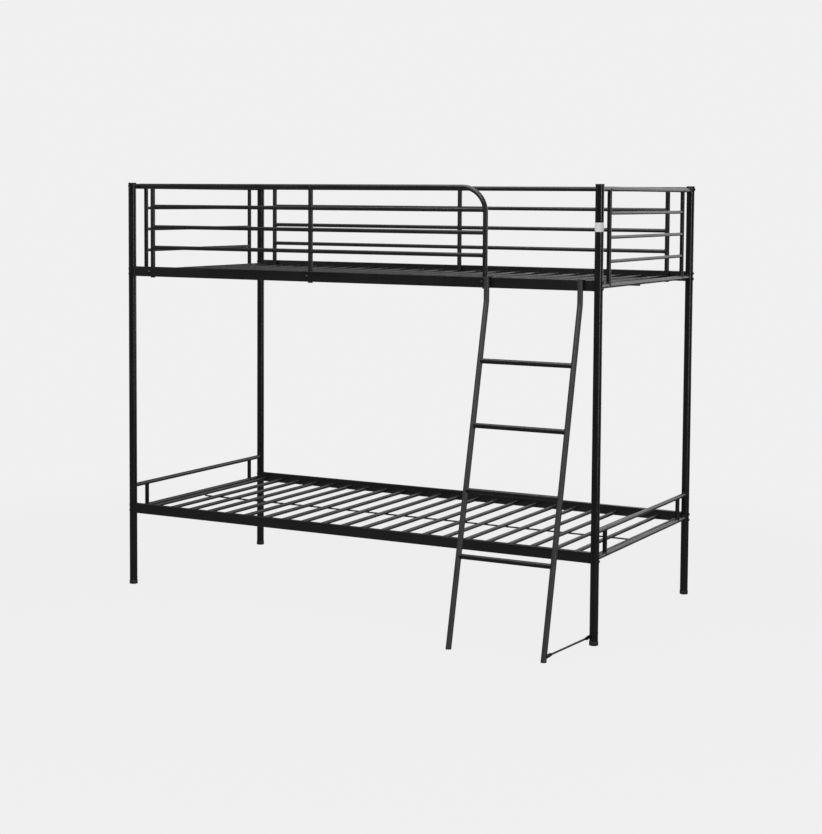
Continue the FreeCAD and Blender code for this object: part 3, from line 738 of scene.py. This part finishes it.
bmesh.ops.recalc_face_normals(tie_shape, faces=tie_shape.faces)
tie_mesh = mesh_from("pressed_tie_bar", tie_shape)
tie_mesh.materials.append(powder_coat)
pressed_bar = scene_object("pressed_tie_bar", tie_mesh)
cutters = slot_cutters(eye, slot)
for cutter in cutters:
    cut = pressed_bar.modifiers.new("cut", "BOOLEAN")
    cut.operation = "DIFFERENCE"
    cut.solver = "EXACT"
    cut.object = cutter
pierced = settled_mesh(pressed_bar)
pressed_bar.modifiers.clear()
pressed_bar.data = pierced
for cutter in cutters:
    bpy.data.objects.remove(cutter)
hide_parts("tie_bar")
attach(pressed_bar, "ladder")


# --- Label -----------------------------------------------------------------------------------------
# A blank paper sticker is wrapped round the front right post above the upper bed. It has creased as
# it went on by hand, and its free end overlaps and lifts a little.

def build_paper():
    """Off-white paper with fibres, faint creases and grubby patches where the crease noise runs high."""
    material = bpy.data.materials.new("label_paper")
    material.use_nodes = True
    tree = material.node_tree
    shader = tree.nodes["Principled BSDF"]
    place = tree.nodes.new("ShaderNodeTexCoord").outputs["Object"]
    stretched = tree.nodes.new("ShaderNodeMapping")
    stretched.inputs["Scale"].default_value = (1, 1, 3)
    tree.links.new(place, stretched.inputs["Vector"])
    fibres = noise_node(tree, stretched.outputs["Vector"], 900.0, 4.0)
    creases = noise_node(tree, place, 90.0, 3.0, 0.7)
    grime = ramp_node(tree, creases, 0.42, 0.62, 0.0, 0.65)
    colour = blend_colours(tree, grime, (0.98, 0.978, 0.97, 1), (0.84, 0.83, 0.81, 1))
    height = math_node(tree, "ADD", creases, math_node(tree, "MULTIPLY", fibres, 0.12))
    bump = tree.nodes.new("ShaderNodeBump")
    bump.inputs["Distance"].default_value = 0.0012
    link_in_order(tree, (height, bump.inputs["Height"]), (bump.outputs["Normal"], shader.inputs["Normal"]),
                  (colour, shader.inputs["Base Color"]),
                  (ramp_node(tree, fibres, 0.3, 0.7, 0.55, 0.75), shader.inputs["Roughness"]))
    return material


label_low, label_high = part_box("post_label")
label_axis = (label_low + label_high) / 2
label_inset = 0.0001
label_radius = (label_high.x - label_low.x) / 2 - label_inset
label_steps = 96
label_rows = 16
label_overlap = 14
label_seam = math.radians(205)
label_edge = 0.0007
pucker_depth = 0.00022
lift_height = 0.0004
lap_height = 0.00012
skew_height = 0.0006
paper_thickness = 0.00016
sheet = bmesh.new()
rows = []
for row in range(label_rows + 1):
    height = row / label_rows
    line = []
    for step in range(label_steps + label_overlap + 1):
        angle = 2 * math.pi * step / label_steps + label_seam
        pucker = pucker_depth * math.sin(3.1 * angle + 9 * height) * math.sin(5.3 * angle - 6 * height)
        lift = lift_height * max(0, step - label_steps) / label_overlap * (0.6 + 0.4 * height)
        over = lap_height if step > label_steps - 2 else 0.0
        radius = label_radius + abs(pucker) + lift + over
        skew = skew_height * math.sin(angle + 0.4)
        z = label_low.z + label_edge + (label_high.z - label_low.z - 2 * label_edge) * height + skew
        x = label_axis.x + radius * math.cos(angle)
        y = label_axis.y + radius * math.sin(angle)
        line.append(sheet.verts.new((x, y, z)))
    rows.append(line)
for lower, upper in zip(rows, rows[1:]):
    for step in range(len(lower) - 1):
        sheet.faces.new((lower[step], lower[step + 1], upper[step + 1], upper[step])).smooth = True
label_mesh = mesh_from("label", sheet)
label_mesh.materials.append(build_paper())
label = scene_object("label", label_mesh)
thickness = label.modifiers.new("paper", "SOLIDIFY")
thickness.thickness = paper_thickness
thickness.offset = 1
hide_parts("post_label")
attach(label, "bed")


# --- Studio ----------------------------------------------------------------------------------------
# Plain pale floor that runs into a pale background. A broad wall of light stands behind, a tall soft
# strip to the right, and soft panels hang overhead, in front and to the left.

pale = 0.871
surround_level = 0.06
floor_bounce = 0.2
floor_glow_share = 0.955
floor_fade = (1.6, 3.4)
floor_radius = 60.0
floor_gap = 0.0005


def build_floor_paint():
    """Pale floor that takes a faint shadow under the object and fades to the background."""
    material = bpy.data.materials.new("studio_floor")
    material.use_nodes = True
    tree = material.node_tree
    tree.nodes.remove(tree.nodes["Principled BSDF"])
    matt = tree.nodes.new("ShaderNodeBsdfDiffuse")
    glow = tree.nodes.new("ShaderNodeEmission")
    glow.inputs["Color"].default_value = (pale, pale, pale, 1)
    seen = tree.nodes.new("ShaderNodeLightPath").outputs["Is Camera Ray"]
    tree.links.new(ramp_node(tree, seen, 0.0, 1.0, floor_bounce, 1.0), glow.inputs["Strength"])
    mix = tree.nodes.new("ShaderNodeMixShader")
    place = tree.nodes.new("ShaderNodeTexCoord").outputs["Object"]
    far = tree.nodes.new("ShaderNodeVectorMath")
    far.operation = "LENGTH"
    tree.links.new(place, far.inputs[0])
    tint = blend_colours(tree, ramp_node(tree, noise_node(tree, place, 40.0), 0.3, 0.7, 0.0, 1.0),
                         (0.8, 0.8, 0.8, 1), (0.84, 0.84, 0.84, 1))
    glow_share = ramp_node(tree, far.outputs["Value"], floor_fade[0], floor_fade[1], floor_glow_share, 1.0)
    link_in_order(tree, (tint, matt.inputs["Color"]),
                  (glow_share, mix.inputs["Fac"]),
                  (matt.outputs[0], mix.inputs[1]), (glow.outputs[0], mix.inputs[2]),
                  (mix.outputs[0], tree.nodes["Material Output"].inputs["Surface"]))
    return material


floor_shape = bmesh.new()
bmesh.ops.create_circle(floor_shape, cap_ends=True, segments=96, radius=floor_radius)
floor_mesh = mesh_from("floor", floor_shape)
floor_mesh.materials.append(build_floor_paint())
floor = scene_object("floor", floor_mesh)
floor.location.z = -floor_gap

world = bpy.data.worlds.new("studio")
world.use_nodes = True
bpy.context.scene.world = world
surround = world.node_tree
background = surround.nodes["Background"]
background.inputs["Color"].default_value = (pale, pale, pale, 1)
seen = surround.nodes.new("ShaderNodeLightPath").outputs["Is Camera Ray"]
surround.links.new(ramp_node(surround, seen, 0.0, 1.0, surround_level, 1.0), background.inputs["Strength"])


def soft_panel(name, place, target, width, height, power):
    """Soft rectangular light, itself out of sight."""
    lamp = bpy.data.lights.new(name, "AREA")
    lamp.shape = "RECTANGLE"
    lamp.size = width
    lamp.size_y = height
    lamp.energy = power
    panel = scene_object(name, lamp)
    panel.location = place
    panel.rotation_euler = (Vector(target) - Vector(place)).to_track_quat("-Z", "Y").to_euler()
    panel.visible_camera = False


middle = (0, 0, 0.8)
soft_panel("wall_light", (1.5, 5.5, 2.2), middle, 7.0, 4.0, 110)
soft_panel("strip_light", (4.6, -1.9, 1.6), middle, 0.5, 3.2, 34)
soft_panel("top_light", (0.3, -0.6, 4.2), middle, 3.5, 2.5, 100)
soft_panel("fill_light", (-4.4, -3.2, 2.4), middle, 1.6, 2.4, 9)
soft_panel("front_light", (0.6, -6.0, 4.6), middle, 4.0, 1.6, 165)

camera_data = bpy.data.cameras.new("camera")
camera_data.sensor_width = 36.0
camera_data.lens = 76.535
camera_data.shift_y = -0.12
camera = scene_object("camera", camera_data)
camera_place = (3.2796, -5.937, 1.5407)
yaw, pitch, roll = math.radians(28.243), math.radians(3.864), math.radians(0.394)
camera.matrix_world = (Matrix.Translation(camera_place) @ Matrix.Rotation(yaw, 4, "Z")
                       @ Matrix.Rotation(math.pi / 2 - pitch, 4, "X") @ Matrix.Rotation(roll, 4, "Z"))
bpy.context.scene.camera = camera
bpy.context.scene.view_settings.view_transform = "Standard"
